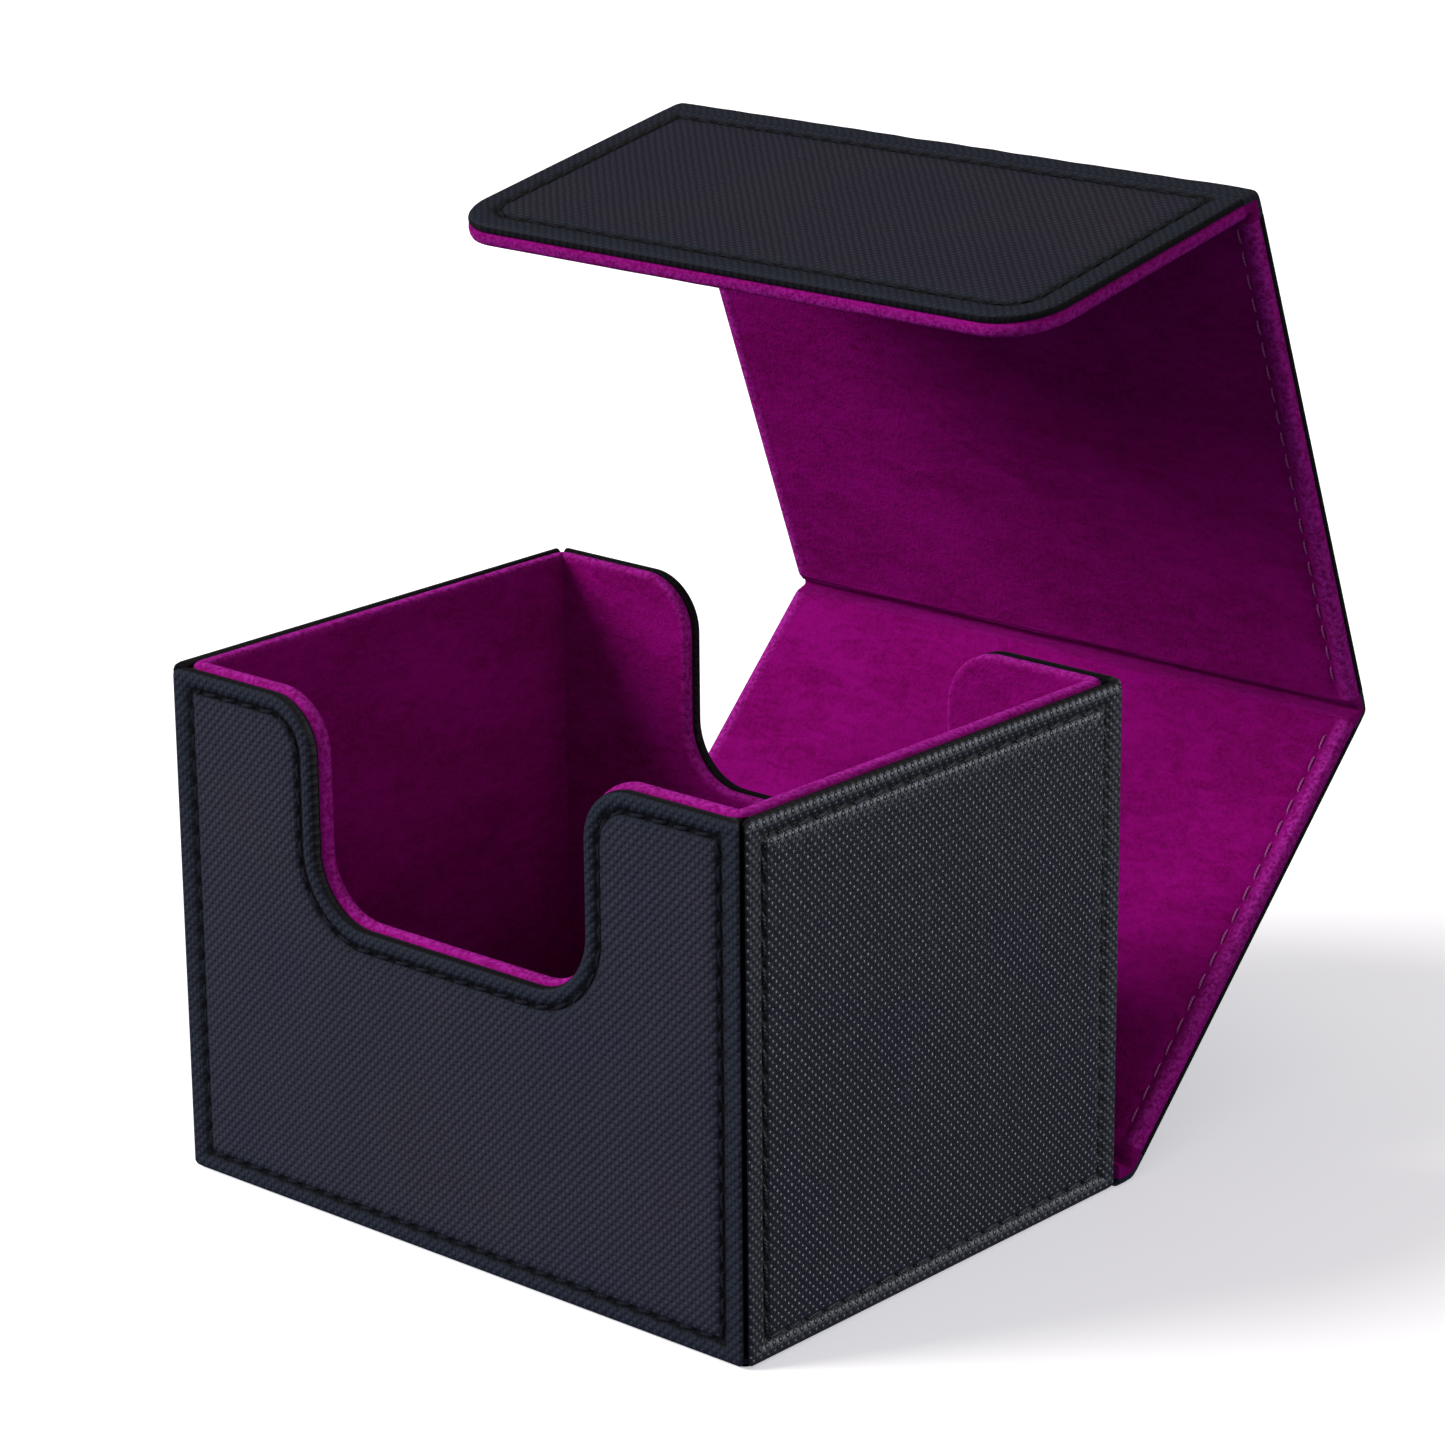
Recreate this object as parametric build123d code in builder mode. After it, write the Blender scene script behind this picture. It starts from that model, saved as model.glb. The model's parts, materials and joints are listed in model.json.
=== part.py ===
from build123d import *

import os
from math import cos, radians, sin
from typing import NamedTuple

# Card deck box: a lined box with two notched walls and a wrap-around cover.
#
# The origin is the centre of the base's lower face. +X is to the right, the front wall
# faces -Y, the cover is hinged along the lower rear edge at +Y, and +Z is up. The cover
# is drawn open: its back panel leans away from the box, the top panel leans back over
# it, and the front flap points forward above the box. Lengths are in millimetres and
# angles in degrees.

# Outside of the box
WIDTH = 106.0
DEPTH = 79.5
HEIGHT = 75.5

# Sheet materials
SKIN = 0.7
LINING = 0.6
BOARD = 1.7
WALL_STIFFENER = 1.0
BASE_STIFFENER = 0.7
FLOOR_BOARD = 1.5
COVER_STIFFENER = 0.9
COVER_BOARD = 1.3

# The lined shell's rim stands proud of the leather panels around it
RIM_STEP = 0.5

# Thumb notch, measured on the lined shell
NOTCH_HALF_WIDTH = 24.7
NOTCH_FLOOR = 44.8
NOTCH_SHOULDER_RADIUS = 8.5
NOTCH_CORNER_RADIUS = 9.0

# Leather edges and corners
EDGE_RADIUS = 0.5
BASE_CORNER_RADIUS = 1.5

# Sewing threads, each laid in a groove of its own width
THREAD_WIDTH = 0.6
THREAD_HEIGHT = 0.25
GROOVE_DEPTH = 0.3
SEAM_FROM_RIM = 3.0
SEAM_FROM_CORNER = 4.0
SEAM_FROM_BOTTOM = 2.8
SEAM_FROM_COVER_EDGE = 4.2
SEAM_FROM_LINING_EDGE = 2.4

# Wrap-around cover
COVER_WIDTH = 106.6
BACK_LENGTH = 78.3
TOP_LENGTH = 86.9
FLAP_LENGTH = 51.8
FLAP_CORNER_RADIUS = 9.0
FOLD_GAP = 3.3
FOLD_RADIUS = 0.9

# How far each fold is bent in the drawn pose: flat is 0 and shut is 90
BACK_BEND = 45.4
TOP_BEND = 65.2
FLAP_BEND = 80.2

# Closing magnets
MAGNET_RADIUS = 5.0
MAGNET_SPREAD = 20.0
WALL_MAGNET_HEIGHT = 35.7
WALL_MAGNET_THICKNESS = 1.2
FLAP_MAGNET_THICKNESS = 1.0

# Derived sizes
WALL_PANEL = SKIN + WALL_STIFFENER
SHELL = BOARD + LINING
WALL = WALL_PANEL + SHELL
BASE = SKIN + BASE_STIFFENER
COVER_PANEL = SKIN + COVER_STIFFENER
COVER = COVER_PANEL + COVER_BOARD + LINING
SHELL_WIDTH = WIDTH - 2 * WALL_PANEL
SHELL_DEPTH = DEPTH - 2 * WALL_PANEL
INSIDE_WIDTH = WIDTH - 2 * WALL
INSIDE_DEPTH = DEPTH - 2 * WALL
COVER_HALF_WIDTH = COVER_WIDTH / 2
TOLERANCE = 0.001


class Wall(NamedTuple):
    """One wall of the box: its name, outer face and widths.

    The face's x axis runs along the wall, its y axis is up and its z axis points into
    the box. shell_width, board_width and lining_width are the widths of the rim, the
    board and the sheet that lines the board.
    """

    name: str
    face: Plane
    width: float
    shell_width: float
    board_width: float
    lining_width: float
    notched: bool


class Panel(NamedTuple):
    """One panel of the cover: its name, hinge axis, outer face and stretch of the cover.

    The face's x axis is the hinge axis, its y axis runs along the panel from the hinge,
    and its z axis points through the panel to its lining.
    """

    name: str
    face: Plane
    start: float
    end: float
    corner_radius: float


def keep(piece, name):
    """Name a finished piece and write its STEP file."""
    piece.part.label = name
    export_step(piece.part, f"parts/{name}.step")


# ---------------------------------------------------------------- box


def make_wall(name, inward, span, reach, shell_width, board_width, lining_width, notched):
    """Describe a wall that stands a given reach from the origin."""
    inward = Vector(*inward)
    face = Plane(origin=inward * -reach, x_dir=Vector(0, 0, 1).cross(inward), z_dir=inward)
    return Wall(name, face, span, shell_width, board_width, lining_width, notched)


def end_wall(name, direction):
    """Describe the notched front or rear wall, whose board runs the shell's full width."""
    lining_width = SHELL_WIDTH - 2 * BOARD
    widths = (SHELL_WIDTH, SHELL_WIDTH, lining_width)
    return make_wall(name, (0, direction, 0), WIDTH, DEPTH / 2, *widths, True)


def side_wall(name, direction):
    """Describe the left or right wall, whose board fits between the end walls' boards."""
    widths = (INSIDE_DEPTH, SHELL_DEPTH - 2 * BOARD, INSIDE_DEPTH)
    return make_wall(name, (direction, 0, 0), DEPTH, WIDTH / 2, *widths, False)


def draw_wall(sketch, wall, width, bottom, inset):
    """Draw a wall in the open sketch, set in from the rim and from the notch's edge."""
    top = HEIGHT - inset
    with Locations((0, (bottom + top) / 2)):
        Rectangle(width, top - bottom)
    if not wall.notched:
        return
    half_width = NOTCH_HALF_WIDTH + inset
    floor = NOTCH_FLOOR - inset
    with Locations((0, (floor + top) / 2)):
        Rectangle(2 * half_width, top - floor, mode=Mode.SUBTRACT)
    for level, radius in (
        (top, NOTCH_SHOULDER_RADIUS - inset),
        (floor, NOTCH_CORNER_RADIUS + inset),
    ):
        corners = sketch.vertices().filter_by(
            lambda corner: abs(abs(corner.X) - half_width) < TOLERANCE
            and abs(corner.Y - level) < TOLERANCE
        )
        fillet(corners, radius=radius)


def mitre(wall, margin):
    """Cut the open part's upright ends at 45 degrees, a margin inside the box's corners."""
    for side in (-1, 1):
        corner = wall.face.origin + wall.face.x_dir * (side * wall.width / 2)
        inside = wall.face.x_dir * -side - wall.face.z_dir
        split(bisect_by=Plane(origin=corner, z_dir=inside).offset(margin), keep=Keep.TOP)


def wall_seam(wall, height):
    """Make the closed ring that a panel's sewing thread or its groove fills."""
    width = wall.width - 2 * SEAM_FROM_CORNER
    bottom = BASE + SEAM_FROM_BOTTOM
    plane = wall.face.offset(GROOVE_DEPTH - height)
    with BuildPart() as ring:
        with BuildSketch(plane) as outline:
            draw_wall(outline, wall, width, bottom, SEAM_FROM_RIM)
        extrude(amount=height)
        with BuildSketch(plane) as hole:
            draw_wall(
                hole,
                wall,
                width - 2 * THREAD_WIDTH,
                bottom + THREAD_WIDTH,
                SEAM_FROM_RIM + THREAD_WIDTH,
            )
        extrude(amount=height, mode=Mode.SUBTRACT)
    return ring


def wall_stiffener(wall):
    """Make the card that the leather panel is wrapped around."""
    width = wall.width - 2 * SKIN
    with BuildPart() as card:
        with BuildSketch(wall.face.offset(SKIN)) as outline:
            draw_wall(outline, wall, width, BASE + SKIN, RIM_STEP + SKIN)
        extrude(amount=WALL_STIFFENER)
        mitre(wall, SKIN)
    return card


def wall_leather(wall, card, groove):
    """Make the leather: an outer skin turned over the card's edges, mitred at the corners."""
    with BuildPart() as leather:
        with BuildSketch(wall.face) as outline:
            draw_wall(outline, wall, wall.width, BASE, RIM_STEP)
        extrude(amount=WALL_PANEL)
        mitre(wall, 0)
        outer_face = leather.faces().sort_by(Axis(wall.face.origin, wall.face.z_dir))[0]
        fillet(outer_face.edges(), radius=EDGE_RADIUS)
        add(card.part, mode=Mode.SUBTRACT)
        add(groove.part, mode=Mode.SUBTRACT)
    return leather


def wall_board(wall, magnets):
    """Make the grey board of a wall, a lining's thickness under the rim and notch."""
    with BuildPart() as board:
        with BuildSketch(wall.face.offset(WALL_PANEL)) as outline:
            draw_wall(outline, wall, wall.board_width, BASE, LINING)
        extrude(amount=BOARD)
        if wall.name == "front":
            add(magnets.part, mode=Mode.SUBTRACT)
    return board


def wall_lining(wall):
    """Make the suede: a sheet on the board's inner face, turned over its rim and notch."""
    with BuildPart() as lining:
        with BuildSketch(wall.face.offset(WALL_PANEL)) as rim:
            draw_wall(rim, wall, wall.shell_width, BASE, 0)
        extrude(amount=SHELL)
        with BuildSketch(wall.face.offset(WALL_PANEL)) as under_rim:
            draw_wall(under_rim, wall, wall.shell_width, BASE, LINING)
        extrude(amount=SHELL, mode=Mode.SUBTRACT)
        with BuildSketch(wall.face.offset(WALL_PANEL + BOARD)) as sheet:
            draw_wall(sheet, wall, wall.lining_width, BASE, 0)
        extrude(amount=LINING)
    return lining


os.makedirs("parts", exist_ok=True)

front_wall = end_wall("front", 1)
rear_wall = end_wall("rear", -1)
left_wall = side_wall("left", 1)
right_wall = side_wall("right", -1)

# Two disc magnets let into the outer face of the front wall's board
with BuildPart() as wall_magnets:
    with BuildSketch(front_wall.face.offset(WALL_PANEL)):
        with Locations((-MAGNET_SPREAD, WALL_MAGNET_HEIGHT), (MAGNET_SPREAD, WALL_MAGNET_HEIGHT)):
            Circle(MAGNET_RADIUS)
    extrude(amount=WALL_MAGNET_THICKNESS)
keep(wall_magnets, "wall_magnets")

for wall in (front_wall, rear_wall, left_wall, right_wall):
    stiffener = wall_stiffener(wall)
    groove = wall_seam(wall, GROOVE_DEPTH)
    keep(stiffener, f"{wall.name}_wall_stiffener")
    keep(wall_leather(wall, stiffener, groove), f"{wall.name}_wall_leather")
    keep(wall_seam(wall, THREAD_HEIGHT), f"{wall.name}_wall_stitching")
    keep(wall_board(wall, wall_magnets), f"{wall.name}_wall_board")
    keep(wall_lining(wall), f"{wall.name}_wall_lining")

# Leather tray under the whole box, with its own stiffener
with BuildPart() as base_stiffener:
    with BuildSketch(Plane.XY.offset(SKIN)):
        RectangleRounded(WIDTH - 2 * SKIN, DEPTH - 2 * SKIN, BASE_CORNER_RADIUS - SKIN)
    extrude(amount=BASE_STIFFENER)
keep(base_stiffener, "base_stiffener")

with BuildPart() as base_leather:
    with BuildSketch(Plane.XY):
        RectangleRounded(WIDTH, DEPTH, BASE_CORNER_RADIUS)
    extrude(amount=BASE)
    add(base_stiffener.part, mode=Mode.SUBTRACT)
keep(base_leather, "base_leather")

# Lined floor that drops in between the wall linings
with BuildPart() as floor_board:
    with BuildSketch(Plane.XY.offset(BASE)):
        Rectangle(INSIDE_WIDTH, INSIDE_DEPTH)
    extrude(amount=FLOOR_BOARD)
keep(floor_board, "floor_board")

with BuildPart() as floor_lining:
    with BuildSketch(Plane.XY.offset(BASE + FLOOR_BOARD)):
        Rectangle(INSIDE_WIDTH, INSIDE_DEPTH)
    extrude(amount=LINING)
keep(floor_lining, "floor_lining")

# ---------------------------------------------------------------- cover


def along(heading):
    """Give the direction in the YZ plane that a panel with this heading runs in."""
    return Vector(0, cos(radians(heading)), sin(radians(heading)))


def outward(heading):
    """Give the direction that a panel's leather face looks in."""
    return Vector(0, sin(radians(heading)), -cos(radians(heading)))


def make_panel(name, axis, heading, start, end, corner_radius=0):
    """Describe the panel that leaves a hinge axis with a heading."""
    origin = axis + outward(heading) * FOLD_RADIUS
    face = Plane(origin=origin, x_dir=Vector(1, 0, 0), z_dir=outward(heading) * -1)
    return Panel(name, face, start, end, corner_radius)


def draw_panel(sketch, panel, inset):
    """Draw a cover panel in the open sketch, set in from its free edges only."""
    rounded = panel.corner_radius > 0
    end = panel.end - inset if rounded else panel.end
    with Locations((0, (panel.start + end) / 2)):
        Rectangle(COVER_WIDTH - 2 * inset, end - panel.start)
    if rounded:
        free_corners = sketch.vertices().group_by(Axis.Y)[-1]
        fillet(free_corners, radius=panel.corner_radius - inset)


def free_edges(piece, panel, side):
    """Find the edges of a panel's outer (0) or inner (-1) face that meet no fold."""
    face = piece.faces().sort_by(Axis(panel.face.origin, panel.face.z_dir))[side]
    edges = face.edges().sort_by(Axis(panel.face.origin, panel.face.y_dir))
    return edges[1:] if panel.corner_radius > 0 else edges[1:-1]


def cover_seam(panel, inset, depth, height):
    """Make the thread or groove that follows a panel's free edges, at a depth in it."""
    plane = panel.face.offset(depth)
    with BuildPart() as seam:
        with BuildSketch(plane) as outline:
            draw_panel(outline, panel, inset)
        extrude(amount=height)
        with BuildSketch(plane) as hole:
            draw_panel(hole, panel, inset + THREAD_WIDTH)
        extrude(amount=height, mode=Mode.SUBTRACT)
    return seam


def cover_stiffener(panel):
    """Make the card under a cover panel's leather."""
    with BuildPart() as card:
        with BuildSketch(panel.face.offset(SKIN)) as outline:
            draw_panel(outline, panel, SKIN)
        extrude(amount=COVER_STIFFENER)
    return card


def cover_leather(panel, card, groove):
    """Make a cover panel's leather, turned over the card along the free edges."""
    with BuildPart() as leather:
        with BuildSketch(panel.face) as outline:
            draw_panel(outline, panel, 0)
        extrude(amount=COVER_PANEL)
        fillet(free_edges(leather, panel, 0), radius=EDGE_RADIUS)
        add(card.part, mode=Mode.SUBTRACT)
        add(groove.part, mode=Mode.SUBTRACT)
    return leather


def cover_board(panel, magnets):
    """Make the grey board that stiffens a cover panel."""
    with BuildPart() as board:
        with BuildSketch(panel.face.offset(COVER_PANEL)) as outline:
            draw_panel(outline, panel, LINING)
        extrude(amount=COVER_BOARD)
        if panel.name == "front_flap":
            add(magnets.part, mode=Mode.SUBTRACT)
    return board


def cover_lining(panel, groove):
    """Make a cover panel's suede, turned over the board along the free edges."""
    with BuildPart() as lining:
        with BuildSketch(panel.face.offset(COVER_PANEL)) as outline:
            draw_panel(outline, panel, 0)
        extrude(amount=COVER_BOARD + LINING)
        fillet(free_edges(lining, panel, -1), radius=EDGE_RADIUS)
        with BuildSketch(panel.face.offset(COVER_PANEL)) as board_outline:
            draw_panel(board_outline, panel, LINING)
        extrude(amount=COVER_BOARD, mode=Mode.SUBTRACT)
        add(groove.part, mode=Mode.SUBTRACT)
    return lining


back_heading = BACK_BEND
top_heading = back_heading + TOP_BEND
flap_heading = top_heading + FLAP_BEND

back_axis = Vector(0, DEPTH / 2 + FOLD_GAP, FOLD_RADIUS)
top_axis = back_axis + along(back_heading) * BACK_LENGTH
flap_axis = top_axis + along(top_heading) * TOP_LENGTH

back_panel = make_panel("back_cover", back_axis, back_heading, FOLD_GAP, BACK_LENGTH - FOLD_GAP)
top_panel = make_panel("top_cover", top_axis, top_heading, FOLD_GAP, TOP_LENGTH - FOLD_GAP)
front_flap = make_panel(
    "front_flap", flap_axis, flap_heading, FOLD_GAP, FLAP_LENGTH, FLAP_CORNER_RADIUS
)

# Two disc magnets in the flap's board, which meet the wall's magnets when it is shut
magnet_distance = FOLD_RADIUS + BACK_LENGTH - WALL_MAGNET_HEIGHT
with BuildPart() as flap_magnets:
    with BuildSketch(front_flap.face.offset(COVER_PANEL)):
        with Locations((-MAGNET_SPREAD, magnet_distance), (MAGNET_SPREAD, magnet_distance)):
            Circle(MAGNET_RADIUS)
    extrude(amount=FLAP_MAGNET_THICKNESS)
keep(flap_magnets, "front_flap_magnets")

for panel in (back_panel, top_panel, front_flap):
    stiffener = cover_stiffener(panel)
    outer_groove = cover_seam(panel, SEAM_FROM_COVER_EDGE, 0, GROOVE_DEPTH)
    inner_groove = cover_seam(
        panel, SEAM_FROM_LINING_EDGE, COVER - GROOVE_DEPTH, GROOVE_DEPTH
    )
    keep(stiffener, f"{panel.name}_stiffener")
    keep(cover_leather(panel, stiffener, outer_groove), f"{panel.name}_leather")
    keep(
        cover_seam(panel, SEAM_FROM_COVER_EDGE, GROOVE_DEPTH - THREAD_HEIGHT, THREAD_HEIGHT),
        f"{panel.name}_leather_stitching",
    )
    keep(cover_board(panel, flap_magnets), f"{panel.name}_board")
    keep(cover_lining(panel, inner_groove), f"{panel.name}_lining")
    keep(
        cover_seam(panel, SEAM_FROM_LINING_EDGE, COVER - GROOVE_DEPTH, THREAD_HEIGHT),
        f"{panel.name}_lining_stitching",
    )

# ---------------------------------------------------------------- folds


def section_point(axis, heading, distance, depth):
    """Place a point of a fold's section: along the sheet from the axis, and into it."""
    point = axis + along(heading) * distance + outward(heading) * (FOLD_RADIUS - depth)
    return (point.Y, point.Z)


def arc_middle(axis, heading_in, heading_out, depth):
    """Place the middle of the bend that the sheet makes around the axis at a depth."""
    return section_point(axis, (heading_in + heading_out) / 2, 0, depth)


def fold_leather(axis, heading_in, heading_out):
    """Make the bare leather that joins two boards and bends around the axis."""
    with BuildPart() as strip:
        with BuildSketch(Plane.YZ):
            with BuildLine():
                for depth in (0, SKIN):
                    bend_start = section_point(axis, heading_in, 0, depth)
                    bend_end = section_point(axis, heading_out, 0, depth)
                    Line(section_point(axis, heading_in, -FOLD_GAP, depth), bend_start)
                    bend_middle = arc_middle(axis, heading_in, heading_out, depth)
                    ThreePointArc(bend_start, bend_middle, bend_end)
                    Line(bend_end, section_point(axis, heading_out, FOLD_GAP, depth))
                for heading, distance in ((heading_in, -FOLD_GAP), (heading_out, FOLD_GAP)):
                    Line(
                        section_point(axis, heading, distance, 0),
                        section_point(axis, heading, distance, SKIN),
                    )
            make_face()
        extrude(amount=COVER_HALF_WIDTH, both=True)
    return strip


def fold_lining(axis, heading_in, heading_out):
    """Make the suede that lines a fold's channel: its floor and the ends of both boards."""
    inner_distance = FOLD_GAP - LINING
    inner_depth = SKIN + LINING
    crease = (inner_depth - FOLD_RADIUS) / cos(radians(heading_out - heading_in) / 2)
    with BuildPart() as strip:
        with BuildSketch(Plane.YZ):
            with BuildLine():
                bend_start = section_point(axis, heading_in, 0, SKIN)
                bend_end = section_point(axis, heading_out, 0, SKIN)
                bend_middle = arc_middle(axis, heading_in, heading_out, SKIN)
                ThreePointArc(bend_start, bend_middle, bend_end)
                Polyline(
                    bend_end,
                    section_point(axis, heading_out, FOLD_GAP, SKIN),
                    section_point(axis, heading_out, FOLD_GAP, COVER),
                    section_point(axis, heading_out, inner_distance, COVER),
                    section_point(axis, heading_out, inner_distance, inner_depth),
                    arc_middle(axis, heading_in, heading_out, FOLD_RADIUS + crease),
                    section_point(axis, heading_in, -inner_distance, inner_depth),
                    section_point(axis, heading_in, -inner_distance, COVER),
                    section_point(axis, heading_in, -FOLD_GAP, COVER),
                    section_point(axis, heading_in, -FOLD_GAP, SKIN),
                    bend_start,
                )
            make_face()
        extrude(amount=COVER_HALF_WIDTH, both=True)
    return strip


for name, axis, heading_in, heading_out in (
    ("base_hinge", back_axis, 0, back_heading),
    ("rear_hinge", top_axis, back_heading, top_heading),
    ("front_hinge", flap_axis, top_heading, flap_heading),
):
    keep(fold_leather(axis, heading_in, heading_out), f"{name}_leather")
    keep(fold_lining(axis, heading_in, heading_out), f"{name}_lining")
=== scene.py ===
import json
import math

import bmesh
import bpy
import numpy as np
from mathutils import Matrix, Vector
from mathutils.geometry import delaunay_2d_cdt

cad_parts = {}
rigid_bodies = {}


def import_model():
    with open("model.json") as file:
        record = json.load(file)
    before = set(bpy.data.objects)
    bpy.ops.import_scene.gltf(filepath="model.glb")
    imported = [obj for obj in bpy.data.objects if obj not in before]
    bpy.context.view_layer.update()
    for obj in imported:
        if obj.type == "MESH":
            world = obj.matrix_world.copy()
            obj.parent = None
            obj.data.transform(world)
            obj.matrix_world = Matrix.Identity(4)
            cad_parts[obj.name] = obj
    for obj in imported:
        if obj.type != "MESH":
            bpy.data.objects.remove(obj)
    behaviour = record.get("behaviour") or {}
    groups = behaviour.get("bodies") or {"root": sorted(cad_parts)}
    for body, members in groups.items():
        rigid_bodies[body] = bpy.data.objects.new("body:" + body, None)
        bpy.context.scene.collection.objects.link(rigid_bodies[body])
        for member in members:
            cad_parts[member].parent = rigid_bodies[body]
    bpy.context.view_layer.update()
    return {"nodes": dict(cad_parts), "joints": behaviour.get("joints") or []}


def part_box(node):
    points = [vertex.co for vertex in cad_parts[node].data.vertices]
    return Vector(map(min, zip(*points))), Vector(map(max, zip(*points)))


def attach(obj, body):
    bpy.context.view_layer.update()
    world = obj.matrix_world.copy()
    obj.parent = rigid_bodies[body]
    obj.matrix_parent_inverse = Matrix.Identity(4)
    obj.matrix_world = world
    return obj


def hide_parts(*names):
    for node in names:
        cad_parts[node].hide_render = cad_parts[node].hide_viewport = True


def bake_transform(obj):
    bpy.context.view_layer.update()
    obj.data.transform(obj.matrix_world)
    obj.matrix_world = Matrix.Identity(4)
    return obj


# Card deck box: grained leather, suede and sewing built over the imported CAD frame.
# Lengths in this script are millimetres until a mesh is made, and angles are degrees.

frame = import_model()

MM = 0.001
X_AXIS = np.array((1.0, 0.0, 0.0))
Y_AXIS = np.array((0.0, 1.0, 0.0))
Z_AXIS = np.array((0.0, 0.0, 1.0))


def corners_of(node):
    """Give the lowest and highest corners of a CAD node in millimetres."""
    low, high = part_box(node)
    return np.array(low) / MM, np.array(high) / MM


# Box: its outside, from the CAD
HALF_WIDTH = -corners_of("left_wall_leather")[0][0]
HALF_DEPTH = -corners_of("front_wall_leather")[0][1]
FOOT = corners_of("front_wall_leather")[0][2]
RIM = corners_of("front_wall_lining")[1][2]
FLOOR_LOW, FLOOR_HIGH = corners_of("floor_lining")

# Box: how far the leather stops below the rim, the layers' thicknesses and the foot
NEAR_RIM_STEP = 0.5
FAR_RIM_STEP = 0.06
PANEL = 1.7
SHELL = 2.3
SUEDE = 0.6
HEM = 0.15
BASE_SETBACK = 0.9

# Box: the notch and the corners
NOTCH_HALF_WIDTH = 24.7
NOTCH_FLOOR = 44.8
SHOULDER_RADIUS = 8.5
NOTCH_RADIUS = 9.0
LEATHER_CORNER_RADIUS = 1.1
LEATHER_FOOT_RADIUS = 1.0
LEATHER_LEAST_RADIUS = 0.4
SHELL_CORNER_RADIUS = 2.6
SHELL_LEAST_RADIUS = 0.03
FOOT_LEAST_RADIUS = 0.05

# Cover: its width, its layers' thicknesses, its folds and its free end
COVER_HALF_WIDTH = corners_of("back_cover_lining")[1][0]
COVER_PANEL = 1.3
COVER = 3.5
SKIN = 0.7
FOLD_GAP = 3.3
FOLD_RADIUS = 0.9
BEND_REACH = 3.0
BULGE = 1.05
FLAP_LENGTH = 51.8
FLAP_RADIUS = 9.0

# Sewing: a stitch's size is its length, width and height
STITCH_PITCH = 3.7
STITCH_HALF_SPAN = 0.4
PUCKER = 0.18
DARK_STITCH = (2.8, 0.62, 0.42)
DARK_STITCH_DEPTH = 0.46
DARK_STITCH_SLANT = 7
LINING_STITCH = (2.7, 0.32, 0.26)
LINING_STITCH_DEPTH = 3.24
LINING_STITCH_SUNK = 2.95
LINING_STITCH_SLANT = 3
SUNK_SEAM_END = -HALF_WIDTH / 2

# Unevenness of the glued layers
WALL_UNEVEN = 0.035
COVER_UNEVEN = 0.03
SAG = 0.04
NAP_UNEVEN = 0.05
RIPPLE_WAVES = 7
RIPPLE_LONGEST = 34.0

# Spacing of mesh points
OUTLINE_STEP = 0.85
ARC_DENSITY = 1.4
FIELD_STEP = 1.6
TRAY_OUTLINE_STEP = 1.2
TRAY_FIELD_STEP = 2.4
HIDDEN_STEP = 6.0
SHARP_ANGLE = 55
SEED_SHIFT = np.array((37.0, 53.0, 11.0))

# Leather's grain and thread's twist
GRAIN_ACROSS = 1.40
GRAIN_UP = 1.44
GRAIN_WARP = 0.40
GRAIN_HEIGHT = 0.17
PLY = 0.5

# Linear colours
LEATHER_BLUISH = (0.0180, 0.0175, 0.0340)
LEATHER_BROWNISH = (0.0225, 0.0195, 0.0305)
LEATHER_WELT = (0.0110, 0.0150, 0.0250)
# The next two are painted shade: in the grain's valleys, and in seams and on cut edges.
LEATHER_VALLEY_SHADE = (0.0035, 0.0045, 0.0130)
LEATHER_PAINTED_SHADE = (0.0012, 0.0012, 0.0022)
SUEDE_DEEP = (0.138, 0.0005, 0.070)
SUEDE_BRIGHT = (0.235, 0.0016, 0.153)
SUEDE_FLECK = (0.268, 0.0040, 0.186)
SUEDE_EDGE_SHEEN = (0.470, 0.0300, 0.410)
SUEDE_SHEEN = (0.80, 0.05, 0.72, 1)
FLOOR_GLOW = (0.90, 0.91, 1.0, 1)


# ---------------- materials


def feed(tree, node, inputs):
    """Give a node's inputs their constants or other nodes' outputs."""
    for key, value in dict(inputs).items():
        if isinstance(value, bpy.types.NodeSocket):
            tree.links.new(value, node.inputs[key])
        else:
            node.inputs[key].default_value = value


def add_node(tree, kind, inputs=(), **settings):
    """Add a shader node with its settings and inputs."""
    made = tree.nodes.new(kind)
    for key, value in settings.items():
        setattr(made, key, value)
    feed(tree, made, inputs)
    return made


def calculate(tree, operation, first, second=0.5):
    """Add a math node and give its result."""
    inputs = {0: first, 1: second}
    return add_node(tree, "ShaderNodeMath", inputs, operation=operation).outputs[0]


def combine(tree, operation, first, second, output="Vector"):
    """Add a vector math node and give its result."""
    inputs = {0: first, 1: second}
    return add_node(tree, "ShaderNodeVectorMath", inputs, operation=operation).outputs[output]


def axes_of(tree, vector):
    """Split a vector into its X, Y and Z."""
    return add_node(tree, "ShaderNodeSeparateXYZ", {0: vector}).outputs


def stored(tree, name, output):
    """Read what make_piece stores on the mesh: surface, in millimetres, or band."""
    return add_node(tree, "ShaderNodeAttribute", attribute_name=name).outputs[output]


def object_place(tree):
    """Give the place in the object's own coordinates, in metres."""
    return add_node(tree, "ShaderNodeTexCoord").outputs["Object"]


def blend_colours(tree, factor, first, second):
    """Mix two colours by a factor that comes from a texture."""
    inputs = {"Factor": factor}
    for key, colour in ((6, first), (7, second)):
        inputs[key] = (*colour, 1) if isinstance(colour, tuple) else colour
    return add_node(tree, "ShaderNodeMix", inputs, data_type="RGBA").outputs[2]


def noise(tree, where, scale, detail=2.0, roughness=0.5):
    """Add a noise texture at a place, in waves per unit of the place."""
    inputs = {"Vector": where, "Scale": scale, "Detail": detail, "Roughness": roughness}
    return add_node(tree, "ShaderNodeTexNoise", inputs).outputs["Fac"]


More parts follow.
